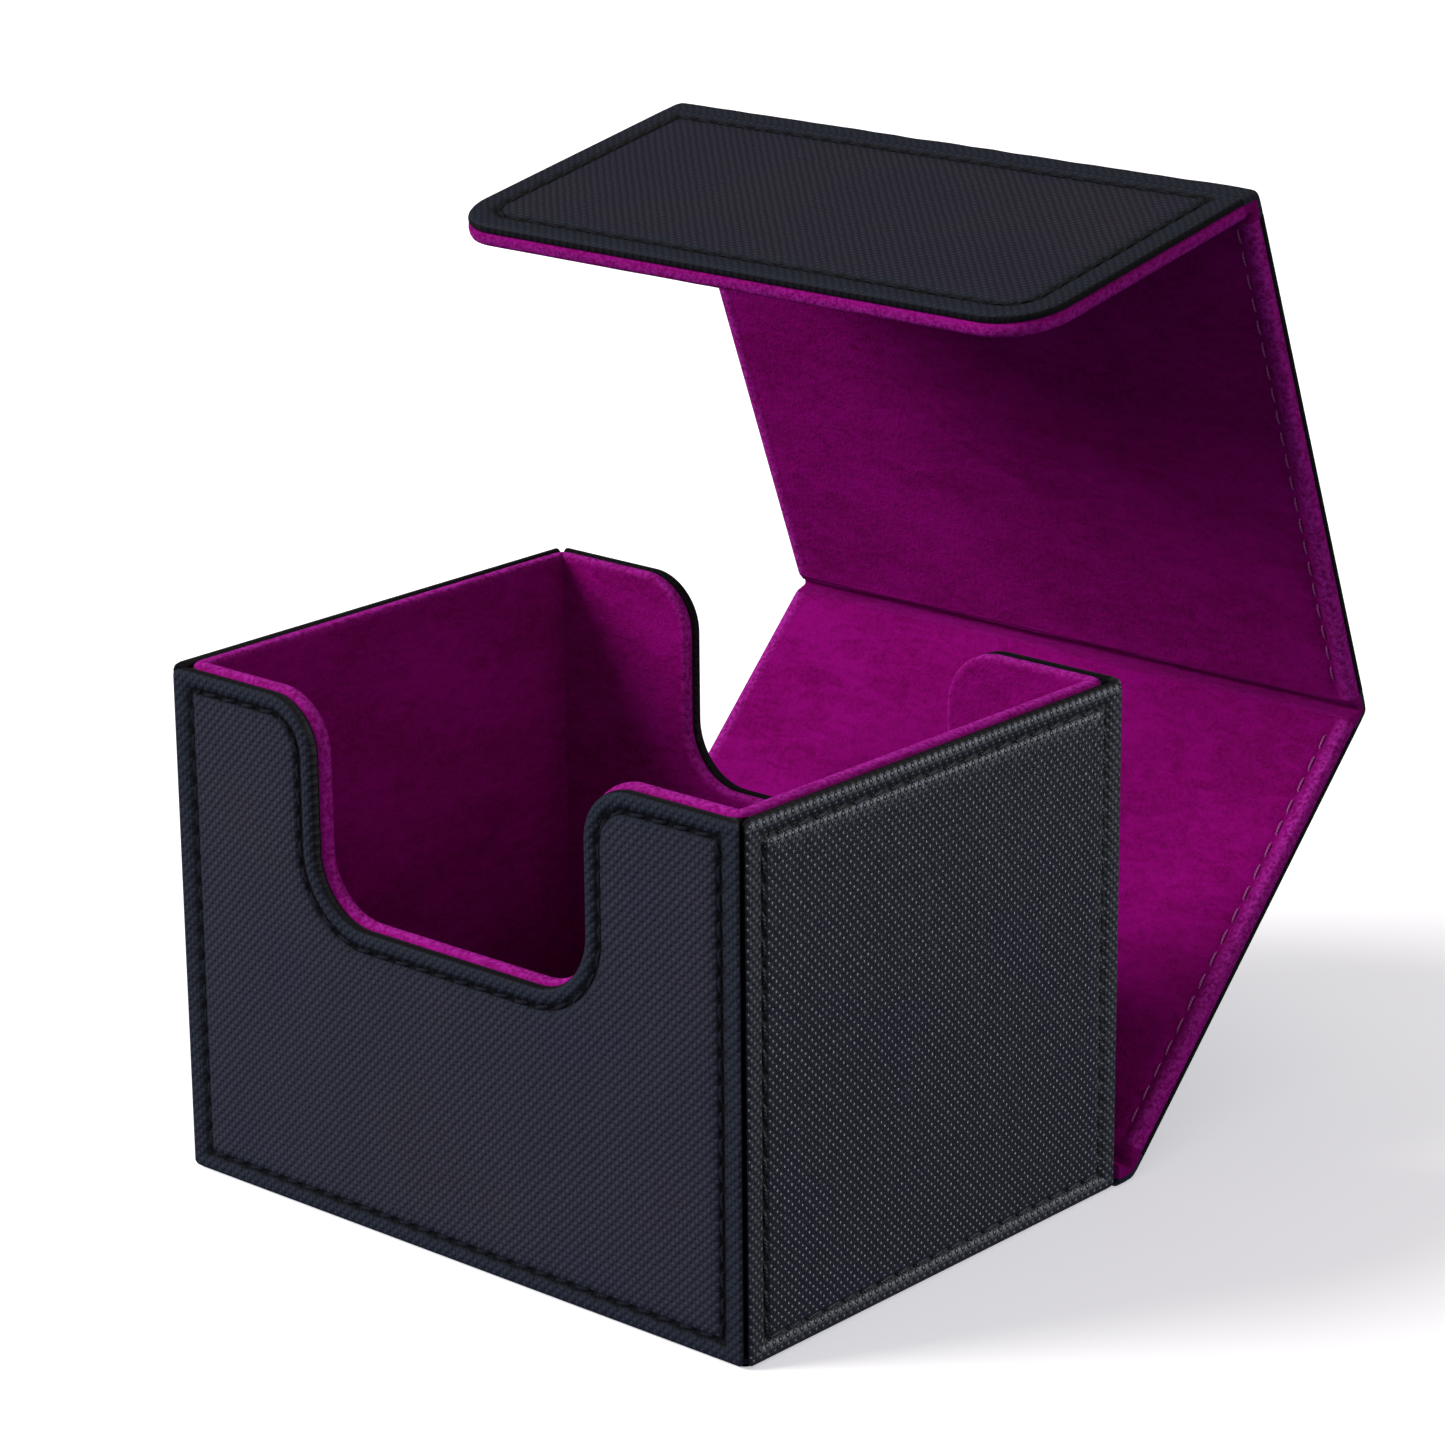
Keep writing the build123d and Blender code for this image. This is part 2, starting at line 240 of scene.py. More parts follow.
def rescale(tree, value, low, high, out_low, out_high):
    """Map a texture's range onto another one."""
    inputs = {0: value, 1: low, 2: high, 3: out_low, 4: out_high}
    return add_node(tree, "ShaderNodeMapRange", inputs).outputs[0]


def new_material(name):
    """Start a material; give it, its node tree and its shader."""
    material = bpy.data.materials.new(name)
    material.use_nodes = True
    tree = material.node_tree
    return material, tree, tree.nodes["Principled BSDF"]


def connect_bump(tree, shader, height, distance):
    """Give the shader a bump of so many millimetres."""
    inputs = {"Height": height, "Distance": distance * MM, "Strength": 1.0}
    bump = add_node(tree, "ShaderNodeBump", inputs)
    feed(tree, shader, {"Normal": bump.outputs["Normal"]})


def make_leather():
    """Cross-hatched grain: small lozenge bumps between two families of fine grooves."""
    material, tree, shader = new_material("grained_leather")
    where = stored(tree, "surface", "Vector")
    warp = add_node(tree, "ShaderNodeTexNoise", {"Vector": where, "Scale": 0.35, "Detail": 2.0})
    shift = combine(tree, "MULTIPLY", warp.outputs["Color"], (GRAIN_WARP, GRAIN_WARP, 0.0))
    moved = axes_of(tree, combine(tree, "ADD", where, shift))
    across = calculate(tree, "MULTIPLY", moved["X"], math.pi / GRAIN_ACROSS)
    up = calculate(tree, "MULTIPLY", moved["Y"], math.pi / GRAIN_UP)
    ridges = []
    for operation in ("ADD", "SUBTRACT"):
        wave = calculate(tree, "SINE", calculate(tree, operation, across, up))
        ridges.append(calculate(tree, "ABSOLUTE", wave))
    lozenge = calculate(tree, "MULTIPLY", ridges[0], ridges[1])
    uneven = rescale(tree, noise(tree, where, 0.8, 2.0), 0.3, 0.7, 0.85, 1.12)
    swollen = rescale(tree, lozenge, 0.28, 0.86, 0.0, 1.0)
    grain = calculate(tree, "MULTIPLY", swollen, uneven)
    pores = noise(tree, where, 4.5, 4.0, 0.65)
    height = calculate(tree, "ADD", grain, calculate(tree, "MULTIPLY", pores, 0.15))
    connect_bump(tree, shader, height, GRAIN_HEIGHT)

    patches = rescale(tree, noise(tree, where, 0.045, 3.0), 0.35, 0.65, 0.0, 1.0)
    field = blend_colours(tree, patches, LEATHER_BLUISH, LEATHER_BROWNISH)
    band = stored(tree, "band", "Fac")
    welt = calculate(tree, "MINIMUM", band, 1.0)
    # The seam's groove and the leather's cut edges are painted near black as shade, and dulled.
    groove_and_edge_shade = rescale(tree, band, 1.15, 1.9, 0.0, 1.0)
    dyed = blend_colours(tree, welt, field, LEATHER_WELT)
    # The grain's valleys are painted darker as shade.
    valley = rescale(tree, lozenge, 0.0, 0.6, 0.8, 0.0)
    grained = blend_colours(tree, valley, dyed, LEATHER_VALLEY_SHADE)
    colour = blend_colours(tree, groove_and_edge_shade, grained, LEATHER_PAINTED_SHADE)
    patchy = rescale(tree, noise(tree, where, 0.5, 4.0, 0.6), 0.3, 0.7, 0.26, 0.38)
    softer = calculate(tree, "ADD", patchy, calculate(tree, "MULTIPLY", welt, 0.16))
    dull = calculate(tree, "MULTIPLY", groove_and_edge_shade, 0.75)
    roughness = calculate(tree, "MAXIMUM", softer, dull)
    inputs = {"Base Color": colour, "Roughness": roughness, "Specular IOR Level": 0.42}
    feed(tree, shader, inputs)
    return material


def make_suede():
    """Microsuede with a soft nap, brushed lighter and darker in drifting patches, and painted
    lighter on its rims and rolled edges as sheen.
    """
    material, tree, shader = new_material("suede_lining")
    where = stored(tree, "surface", "Vector")
    stretched = combine(tree, "MULTIPLY", where, (0.7, 1.5, 1.0))
    inputs = {"Vector": stretched, "Scale": 0.3, "Detail": 4.0, "Distortion": 1.6}
    swirl = add_node(tree, "ShaderNodeTexNoise", inputs).outputs["Fac"]
    drift = calculate(tree, "ADD", noise(tree, stretched, 0.06, 5.0, 0.62), swirl)
    brushed = rescale(tree, drift, 0.8, 1.2, 0.0, 1.0)
    nap = noise(tree, where, 3.2, 4.0, 0.7)
    tufts = noise(tree, where, 1.5, 4.0, 0.65)
    base = blend_colours(tree, brushed, SUEDE_DEEP, SUEDE_BRIGHT)
    flecks = rescale(tree, calculate(tree, "ADD", nap, tufts), 0.8, 1.25, 0.0, 0.6)
    napped = blend_colours(tree, flecks, base, SUEDE_FLECK)
    # The rims and rolled edges are painted lighter in mottled tufts, as sheen.
    patchy = rescale(tree, tufts, 0.41, 0.60, 0.15, 1.0)
    painted_edge_sheen = calculate(tree, "MULTIPLY", stored(tree, "band", "Fac"), patchy)
    colour = blend_colours(tree, painted_edge_sheen, napped, SUEDE_EDGE_SHEEN)
    inputs = {
        "Base Color": colour,
        "Roughness": rescale(tree, nap, 0.3, 0.7, 0.82, 0.98),
        "Specular IOR Level": 0.02,
        "Sheen Weight": 0.08,
        "Sheen Roughness": 0.45,
        "Sheen Tint": SUEDE_SHEEN,
    }
    feed(tree, shader, inputs)
    fuzz = calculate(tree, "ADD", calculate(tree, "MULTIPLY", tufts, 1.6), nap)
    connect_bump(tree, shader, fuzz, 0.2)
    return material


def make_thread(name, dark, light, roughness, specular):
    """Twisted sewing thread: fine slanted plies across the thread, their crests painted lighter as
    highlight and their grooves darker as shade.
    """
    material, tree, shader = new_material(name)
    where = stored(tree, "surface", "Vector")
    parts = axes_of(tree, where)
    slant = calculate(tree, "ADD", parts["X"], parts["Y"])
    ply = calculate(tree, "SINE", calculate(tree, "MULTIPLY", slant, 2 * math.pi / PLY))
    height = rescale(tree, ply, -1.0, 1.0, 0.0, 1.0)
    # Painted highlight on the plies' crests and painted shade between them
    colour = blend_colours(tree, height, dark, light)
    fibres = noise(tree, where, 5.0, 3.0)
    fuzzy = rescale(tree, fibres, 0.3, 0.7, roughness, roughness + 0.15)
    inputs = {"Base Color": colour, "Roughness": fuzzy, "Specular IOR Level": specular}
    feed(tree, shader, inputs)
    connect_bump(tree, shader, height, 0.05)
    return material


def make_hidden(name, first, second, roughness, metallic):
    """Card, board or plated steel, speckled at its own scale from object coordinates."""
    material, tree, shader = new_material(name)
    fibres = noise(tree, object_place(tree), 900.0, 5.0, 0.7)
    speckle = rescale(tree, fibres, 0.35, 0.65, 0.0, 1.0)
    colour = blend_colours(tree, speckle, first, second)
    uneven = rescale(tree, fibres, 0.3, 0.7, roughness, roughness + 0.12)
    feed(tree, shader, {"Base Color": colour, "Roughness": uneven, "Metallic": metallic})
    connect_bump(tree, shader, fibres, 0.03)
    return material


def make_floor():
    """Smooth pale studio floor with the faintest mottling."""
    material, tree, shader = new_material("studio_floor")
    soft = noise(tree, object_place(tree), 3.0, 2.0)
    colour = blend_colours(tree, soft, (0.885, 0.878, 0.868), (0.905, 0.898, 0.890))
    inputs = {
        "Base Color": colour,
        "Roughness": 0.9,
        "Specular IOR Level": 0.1,
        "Emission Color": FLOOR_GLOW,
        "Emission Strength": 0.47,
    }
    feed(tree, shader, inputs)
    return material


LEATHER = make_leather()
SUEDE_CLOTH = make_suede()
DARK_THREAD = make_thread("dark_thread", (0.002, 0.002, 0.004), (0.010, 0.011, 0.018), 0.5, 0.3)
LINING_THREAD = make_thread("lining_thread", (0.24, 0.035, 0.19), (0.40, 0.11, 0.34), 0.7, 0.1)
CARD = make_hidden("stiffener_card", (0.010, 0.010, 0.011), (0.020, 0.019, 0.020), 0.8, 0.0)
BOARD = make_hidden("grey_board", (0.016, 0.015, 0.016), (0.030, 0.029, 0.030), 0.85, 0.0)
NICKEL = make_hidden("magnet", (0.55, 0.54, 0.52), (0.68, 0.67, 0.65), 0.25, 1.0)
HIDDEN_LOOKS = {"stiffener": CARD, "board": BOARD, "magnets": NICKEL}


# ---------------- meshes


class Placing:
    """Where a flat piece's own x, y and depth axes lie in the shared frame."""

    def __init__(self, origin, x_dir, y_dir, depth_dir):
        self.origin = np.array(origin, float)
        self.axes = np.array((x_dir, y_dir, depth_dir), float)

    def __call__(self, points):
        return self.origin + np.asarray(points, float) @ self.axes


class Shape:
    """Points on a piece's own x, y and depth axes, their faces and their band: the welt, painted
    shade and painted sheen.
    """

    def __init__(self):
        self.points = []
        self.bands = []
        self.faces = []

    def add(self, points, bands=0.0):
        """Add points and give their numbers."""
        start = len(self.points)
        self.points.extend(np.asarray(points, float).tolist())
        self.bands.extend(np.broadcast_to(bands, len(points)).tolist())
        return np.arange(start, start + len(points))

    def ring(self, path, depth, bands=0.0):
        """Add a closed path at a depth."""
        depths = np.broadcast_to(depth, len(path))
        return self.add(np.column_stack((path, depths)), bands)

    def bridge(self, rings):
        """Join each ring to the next one, which is as long."""
        for first, second in zip(rings[:-1], rings[1:]):
            for corners in zip(first, np.roll(first, -1), np.roll(second, -1), second):
                self.faces.append(tuple(int(n) for n in corners))

    def fill(self, ring, depth, step):
        """Close a ring with triangles over a grid; the depth is a number or a function."""
        loop = np.array([self.points[i][:2] for i in ring])
        inside = grid_inside(loop, step)
        depths = depth(inside) if callable(depth) else np.full(len(inside), depth)
        numbers = np.concatenate((ring, self.add(np.column_stack((inside, depths)))))
        flat = [Vector(point) for point in np.vstack((loop, inside))]
        found = delaunay_2d_cdt(flat, [], [list(range(len(loop)))], 1, 1e-6)
        for face in found[2]:
            self.faces.append(tuple(int(numbers[found[3][i][0]]) for i in face))

    def sheet(self, top, bottom):
        """Close two grids of point numbers into one slab."""
        for grid, flip in ((top, False), (bottom, True)):
            for a, b in zip(grid[:-1], grid[1:]):
                for i in range(len(a) - 1):
                    face = (a[i], a[i + 1], b[i + 1], b[i])
                    self.faces.append(tuple(int(n) for n in (face[::-1] if flip else face)))
        edges = (
            (top[0], bottom[0]),
            (bottom[-1], top[-1]),
            (bottom[:, 0], top[:, 0]),
            (top[:, -1], bottom[:, -1]),
        )
        for first, second in edges:
            for i in range(len(first) - 1):
                face = (first[i], second[i], second[i + 1], first[i + 1])
                self.faces.append(tuple(int(n) for n in face))


def grid_inside(loop, step):
    """Give the points of a square grid that lie inside a loop and clear of its edge."""
    low, high = loop.min(0), loop.max(0)
    columns = np.arange(low[0] + step / 2, high[0], step)
    rows = np.arange(low[1] + step / 2, high[1], step)
    grid = np.stack(np.meshgrid(columns, rows), -1).reshape(-1, 2)
    start, end = loop, np.roll(loop, -1, 0)
    x, y = grid[:, :1], grid[:, 1:]
    straddles = (start[:, 1] > y) != (end[:, 1] > y)
    rise = np.where(end[:, 1] == start[:, 1], 1.0, end[:, 1] - start[:, 1])
    crossing = start[:, 0] + (end[:, 0] - start[:, 0]) * (y - start[:, 1]) / rise
    within = (straddles & (x < crossing)).sum(1) % 2 == 1
    nearest = np.hypot(x - start[:, 0], y - start[:, 1]).min(1)
    return grid[within & (nearest > step * 0.6)]


def make_piece(name, shape, place, material, seed):
    """Make a smooth mesh in metres; its surface coordinates stay in millimetres."""
    mesh = bpy.data.meshes.new(name)
    points = np.array(shape.points)
    mesh.from_pydata((place(points) * MM).tolist(), [], shape.faces)
    surface = (points + seed * SEED_SHIFT).astype(np.float32).ravel()
    bands = np.array(shape.bands, np.float32)
    mesh.attributes.new("surface", "FLOAT_VECTOR", "POINT").data.foreach_set("vector", surface)
    mesh.attributes.new("band", "FLOAT", "POINT").data.foreach_set("value", bands)
    cleaner = bmesh.new()
    cleaner.from_mesh(mesh)
    bmesh.ops.recalc_face_normals(cleaner, faces=cleaner.faces)
    cleaner.to_mesh(mesh)
    cleaner.free()
    mesh.shade_smooth()
    mesh.set_sharp_from_angle(angle=math.radians(SHARP_ANGLE))
    mesh.materials.append(material)
    piece = bpy.data.objects.new(name, mesh)
    bpy.context.scene.collection.objects.link(piece)
    return piece


def ripple(x, y, seed, longest=RIPPLE_LONGEST):
    """Give a smooth unevenness of about -1 to 1, made of a few crossed waves."""
    chance = np.random.default_rng(seed)
    total = np.zeros(np.broadcast(x, y).shape)
    for _ in range(RIPPLE_WAVES):
        angle, phase = chance.uniform(0, 2 * math.pi, 2)
        wave = 2 * math.pi / chance.uniform(longest / 4, longest)
        total += np.sin((x * math.cos(angle) + y * math.sin(angle)) * wave + phase)
    return total / (RIPPLE_WAVES / 2)


def wavering(points, seed):
    """Give the ripple at points of a flat piece, raised to about 0 to 2."""
    return 1 + ripple(points[:, 0], points[:, 1], seed)


# ---------------- outlines


def path_counts(corners, step):
    """Count the points that each corner's arc and the straight after it take."""
    counts = []
    for here, there in zip(corners, corners[1:] + corners[:1]):
        arc = max(4, round(here[2] * math.pi / 2 / step * ARC_DENSITY))
        straight = math.dist(here[:2], there[:2]) - here[2] - there[2]
        counts.append((arc, max(2, round(straight / step))))
    return counts


def rounded_path(corners, counts):
    """Sample a closed outline of square corners (x, y, radius)."""
    points = []
    for i, (x, y, radius) in enumerate(corners):
        corner = np.array((x, y))
        following = corners[(i + 1) % len(corners)]
        towards = np.array(following[:2])
        before = np.array(corners[i - 1][:2]) - corner
        after = towards - corner
        before /= np.linalg.norm(before)
        after /= np.linalg.norm(after)
        centre = corner + (before + after) * radius
        arc, straight = counts[i]
        for turn in np.linspace(0, math.pi / 2, arc + 1):
            reach = after * math.cos(turn) + before * math.sin(turn)
            points.append(centre - reach * radius)
        start = corner + after * radius
        end = towards - after * following[2]
        for share in np.linspace(0, 1, straight + 1)[1:-1]:
            points.append(start + (end - start) * share)
    return np.array(points)


def wall_corners(wall, rim, side, bottom):
    """Give a wall's outline, set in from the shell's rim, its ends and its foot."""
    half = wall["half"] - side
    top = RIM - rim
    foot = wall["foot"] + bottom
    foot_radius = max(wall["foot_radius"] - bottom, FOOT_LEAST_RADIUS)
    corners = [(-half, foot, foot_radius), (half, foot, foot_radius)]
    corner_radius = max(wall["corner_radius"] - rim, wall["least_radius"])
    corners.append((half, top, corner_radius))
    if wall["notched"]:
        notch = NOTCH_HALF_WIDTH + rim
        floor = NOTCH_FLOOR - rim
        shoulder = SHOULDER_RADIUS - rim
        corners.append((notch, top, shoulder))
        corners.append((notch, floor, NOTCH_RADIUS + rim))
        corners.append((-notch, floor, NOTCH_RADIUS + rim))
        corners.append((-notch, top, shoulder))
    corners.append((-half, top, corner_radius))
    return corners


def cover_corners(panel, free, fold):
    """Give a cover panel's outline, set in from its free edges and from its folds."""
    half = COVER_HALF_WIDTH - free
    start = panel["start"] + fold
    end = panel["end"] - (free if panel["free_end"] else fold)
    near_radius = 0.03 + 0.5 * min(fold, 1.0)
    far_radius = max(FLAP_RADIUS - free, 0.4) if panel["free_end"] else near_radius
    return [
        (-half, start, near_radius),
        (half, start, near_radius),
        (half, end, far_radius),
        (-half, end, far_radius),
    ]


def arc_lengths(path):
    """Give the distance travelled to each point of a closed path, and the whole length."""
    steps = np.linalg.norm(np.roll(path, -1, 0) - path, axis=1)
    return np.concatenate(((0.0,), np.cumsum(steps)[:-1])), steps.sum()


def pucker_along(path):
    """Give 1 where the thread goes through the leather and 0 between, along a seam."""
    travelled, whole = arc_lengths(path)
    pitch = whole / round(whole / STITCH_PITCH)
    return (0.5 + 0.5 * np.cos(2 * math.pi * travelled / pitch)) ** 2


def seam_band(offset, holes, depth):
    """Give a ring's band: 1 on the welt, 2 in the seam's groove and on the cut edge, which are
    painted near black as shade, then 0.

    The offset counts the rings from the seam, with the welt's rings negative.
    """
    groove = np.clip(1.5 - 0.42 * abs(offset) + 0.35 * (holes - 0.5), 0, 1)
    on_welt = 1.0 if offset < 0 else 0.0
    band = 2 * groove + (1 - groove) * on_welt
    # The cut edge is painted near black as shade.
    if offset < -4:
        band = np.maximum(band, np.interp(depth, (0.10, 0.40), (0.0, 1.9)))
    return band


def stitch_places(path):
    """Give the middle and heading of each stitch along a closed path."""
    loop = np.vstack((path, path[:1]))
    steps = np.linalg.norm(np.diff(loop, axis=0), axis=1)
    travelled = np.concatenate(((0.0,), np.cumsum(steps)))
    count = round(travelled[-1] / STITCH_PITCH)
    pitch = travelled[-1] / count
    places = []
    for i in range(count):
        ends = []
        for reach in (-STITCH_HALF_SPAN, STITCH_HALF_SPAN):
            at = (i + 0.5 + reach) * pitch
            ends.append([np.interp(at, travelled, loop[:, axis]) for axis in (0, 1)])
        tail, head = np.array(ends)
        places.append(((tail + head) / 2, (head - tail) / np.linalg.norm(head - tail)))
    return places


def add_stitch(shape, middle, heading, size, depth, sign, slant):
    """Add one stitch: a thread that rises between two holes and dips into them.

    The sign is 1 on the leather's outside, and -1 on the lined face.
    """
    length, width, height = size
    turn = math.radians(slant)
    side = np.array((-heading[1], heading[0]))
    heading = heading * math.cos(turn) + side * math.sin(turn)
    side = np.array((-heading[1], heading[0]))
    rings = []
    for along in np.linspace(-1, 1, 9):
        girth = (1 - 0.82 * abs(along) ** 4) ** 0.5
        rise = (1 - along**2) * 0.16 - abs(along) ** 6 * 0.22
        centre = middle + heading * along * length / 2
        points = []
        for around in np.linspace(0, 2 * math.pi, 9)[:-1]:
            across = centre + side * math.cos(around) * width / 2 * girth
            lift = rise + math.sin(around) * height / 2 * girth
            points.append((*across, depth - sign * lift))
        rings.append(shape.add(points))
    shape.bridge(rings)
    shape.faces.append(tuple(int(n) for n in rings[0][::-1]))
    shape.faces.append(tuple(int(n) for n in rings[-1]))


def finish_piece(piece, body, node):
    """Attach a piece to its body and let it stand for its CAD node."""
    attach(piece, body)
    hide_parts(node)


def build_leather(name, place, paths, rule, seed, body, nodes):
    """Build a leather panel, its puckered seam and its stitches, from its rings' paths."""
    seam = paths[rule["seam"]]
    holes = pucker_along(seam)
    shape = Shape()
    rings = []
    for i, ((depth, *_), path) in enumerate(zip(rule["rows"], paths)):
        from_seam = i - rule["seam"]
        nearness = max(0.0, 1 - abs(from_seam) / rule["pucker_rings"])
        depths = depth + PUCKER * holes * nearness**2
        if i >= rule["field"]:
            depths = depths + rule["uneven"](path, seed)
        rings.append(shape.ring(path, depths, seam_band(from_seam, holes, depth)))
    shape.bridge(rings)
    back, front = rule["rows"][0][0], rule["rows"][-1][0]
    shape.fill(rings[0], back, HIDDEN_STEP)
    shape.fill(rings[-1], lambda xy: front + rule["uneven"](xy, seed), FIELD_STEP)
    panel = make_piece(f"{name}_leather_panel", shape, place, LEATHER, seed)
    finish_piece(panel, body, nodes[0])

    stitches = Shape()
    size, depth, slant = DARK_STITCH, DARK_STITCH_DEPTH, DARK_STITCH_SLANT
    for middle, heading in stitch_places(seam):
        add_stitch(stitches, middle, heading, size, depth, 1, slant)
    thread = make_piece(f"{name}_seam_thread", stitches, place, DARK_THREAD, seed)
    finish_piece(thread, body, nodes[1])


# ---------------- walls

# Leather from the turned-over back edge, round the welt and through the seam's groove to
# the field: depth, then the distance in from the rim, from the upright ends and the foot.
WALL_LEATHER_ROWS = (
    (1.68, 0.30, 1.75, 0.30),
    (1.45, 0.06, 1.58, 0.08),
    (1.10, 0.00, 1.36, 0.00),
    (0.77, 0.01, 1.10, 0.02),
    (0.45, 0.10, 0.86, 0.12),
    (0.20, 0.32, 0.72, 0.34),
    (0.06, 0.72, 0.80, 0.76),
    (0.00, 1.30, 1.20, 1.40),
    (0.08, 1.80, 2.60, 2.00),
    (0.20, 2.05, 3.50, 2.35),
    (0.40, 2.42, 3.92, 2.72),
    (0.48, 2.80, 4.30, 3.10),
    (0.32, 3.02, 4.52, 3.32),
    (0.10, 3.22, 4.72, 3.52),
    (0.04, 3.75, 5.25, 4.05),
    (0.02, 5.20, 6.70, 5.50),
)

# The rings' rows, the numbers of the seam's ring and of the field's first, and the unevenness
WALL_LEATHER = {
    "rows": WALL_LEATHER_ROWS,
    "seam": 11,
    "field": 7,
    "pucker_rings": 5,
    "uneven": lambda xy, seed: WALL_UNEVEN * ripple(xy[:, 0], xy[:, 1], seed),
}

# Suede over the shell's rim: depth into the shell and distance in from the rim.
WALL_SUEDE = (
    (SHELL - SUEDE, SUEDE),
    (0.04, SUEDE),
    (0.04, 0.66),
    (0.22, 0.36),
    (0.55, 0.13),
    (0.98, 0.02),
    (1.40, 0.00),
    (1.86, 0.05),
    (2.15, 0.20),
    (2.28, 0.52),
    (2.30, 1.10),
    (2.30, 2.40),
)
WALL_SUEDE_FACE_RING = 10
# Each ring's share of the painted sheen on the rim's suede
RIM_SHINE = (0.0, 0.0, 0.15, 0.35, 0.6, 0.8, 0.8, 0.7, 0.45, 0.2, 0.0, 0.0)

WALL_KEYS = ("name", "inward", "along", "half", "reach", "step", "notched")
WALLS = []
for row in (
    ("front", Y_AXIS, X_AXIS, HALF_WIDTH, HALF_DEPTH, NEAR_RIM_STEP, True),
    ("rear", -Y_AXIS, -X_AXIS, HALF_WIDTH, HALF_DEPTH, FAR_RIM_STEP, True),
    ("left", X_AXIS, -Y_AXIS, HALF_DEPTH, HALF_WIDTH, FAR_RIM_STEP, False),
    ("right", -X_AXIS, Y_AXIS, HALF_DEPTH, HALF_WIDTH, NEAR_RIM_STEP, False),
):
    wall = dict(zip(WALL_KEYS, row))
    wall["foot"] = FOOT if wall["name"] == "rear" else HEM
    wall["foot_radius"] = LEATHER_FOOT_RADIUS
    wall["least_radius"] = LEATHER_LEAST_RADIUS
    wall["corner_radius"] = LEATHER_CORNER_RADIUS + wall["step"]
    WALLS.append(wall)


def build_wall_leather(wall, seed):
    """Build a wall's leather panel and the stitches of its seam."""
    name = wall["name"]
    place = Placing(wall["inward"] * -wall["reach"], wall["along"], Z_AXIS, wall["inward"])
    outline = wall_corners(wall, wall["step"], 0, 0)
    counts = path_counts(outline, OUTLINE_STEP)
    paths = [
        rounded_path(wall_corners(wall, wall["step"] + rim, side, foot), counts)
        for _, rim, side, foot in WALL_LEATHER_ROWS
    ]
    nodes = (f"{name}_wall_leather", f"{name}_wall_stitching")
    build_leather(name, place, paths, WALL_LEATHER, seed, "box", nodes)


def corner_shift(distance):
    """Give how far the shell's rounded plan corner stands back, near the shell's end."""
    reach = np.clip(SHELL_CORNER_RADIUS - distance, 0, SHELL_CORNER_RADIUS)
    return SHELL_CORNER_RADIUS - np.sqrt(SHELL_CORNER_RADIUS**2 - reach**2)


def mitre_inset(depth):
    """Find where a layer at a depth reaches the mitre between two walls' suede."""
    inset = depth
    for _ in range(40):
        moved = depth + corner_shift(inset) * (1 - depth / SHELL)
        inset = (inset + moved) / 2
    return float(inset)


def shell_of(wall, corner_radius):
    """Give the shell's wall behind a leather panel, and its placing."""
    shell = dict(wall, half=wall["half"] - PANEL, corner_radius=corner_radius, foot=FOOT)
    shell["foot_radius"] = FOOT_LEAST_RADIUS
    origin = wall["inward"] * -(wall["reach"] - PANEL)
    return shell, Placing(origin, wall["along"], Z_AXIS, wall["inward"])


def build_wall_suede(wall, seed):
    """Build the suede that lines a wall's board and turns over its rim and notch."""
    shell, place = shell_of(wall, 0.0)
    shell["least_radius"] = SHELL_LEAST_RADIUS
    counts = path_counts(wall_corners(shell, 0, 0, 0), OUTLINE_STEP * 0.7)
    board_side = SHELL - SUEDE
    numbers = np.arange(sum(map(sum, counts)))
    rim_start = sum(map(sum, counts[:2]))
    shown = (numbers >= rim_start) & (numbers <= len(numbers) - counts[-1][1])

    def sag(xy):
        from_end = np.clip((shell["half"] - SHELL - np.abs(xy[:, 0])) / 5, 0, 1)
        return SAG * from_end * wavering(xy, seed)

    shape = Shape()
    rings = []
    for i, (depth, rim) in enumerate(WALL_SUEDE):
        upper = rounded_path(wall_corners(shell, rim, mitre_inset(depth), 0), counts)
        lower_depth = max(depth, board_side)
        lower = rounded_path(wall_corners(shell, rim, lower_depth, 0), counts)
        path = np.where(shown[:, None], upper, lower)
        layer = depth + corner_shift(shell["half"] - np.abs(path[:, 0])) * (1 - depth / SHELL)
        depths = np.where(shown, layer, lower_depth)
        if i >= WALL_SUEDE_FACE_RING:
            depths = depths - sag(path)
        rings.append(shape.ring(path, depths, np.where(shown, RIM_SHINE[i], 0.0)))
    shape.bridge(rings)
    shape.fill(rings[0], board_side, HIDDEN_STEP)
    shape.fill(rings[-1], lambda xy: SHELL - sag(xy), FIELD_STEP * 1.5)
    suede = make_piece(f"{wall['name']}_suede", shape, place, SUEDE_CLOTH, seed)
    finish_piece(suede, "box", f"{wall['name']}_wall_lining")


def build_end_board(wall, seed):
    """Build a notched wall's board, with its upright ends eased for the suede's corners."""
    board, place = shell_of(wall, 0.5)
    counts = path_counts(wall_corners(board, SUEDE, 0.9, 0), OUTLINE_STEP * 1.5)
    shape = Shape()
    levels = ((0.02, 1.1), (0.3, 0.9), (1.4, 0.9), (1.68, 1.1))
    rings = [
        shape.ring(rounded_path(wall_corners(board, SUEDE + 0.04, side, 0), counts), depth)
        for depth, side in levels
    ]
    shape.bridge(rings)
    for ring, (depth, _) in ((rings[0], levels[0]), (rings[-1], levels[-1])):
        shape.fill(ring, depth, HIDDEN_STEP)
    piece = make_piece(f"{wall['name']}_shell_board", shape, place, BOARD, seed)
    finish_piece(piece, "box", f"{wall['name']}_wall_board")


for number, wall in enumerate(WALLS):
    build_wall_leather(wall, number + 1)
    build_wall_suede(wall, number + 5)
    if wall["notched"]:
        build_end_board(wall, number + 30)


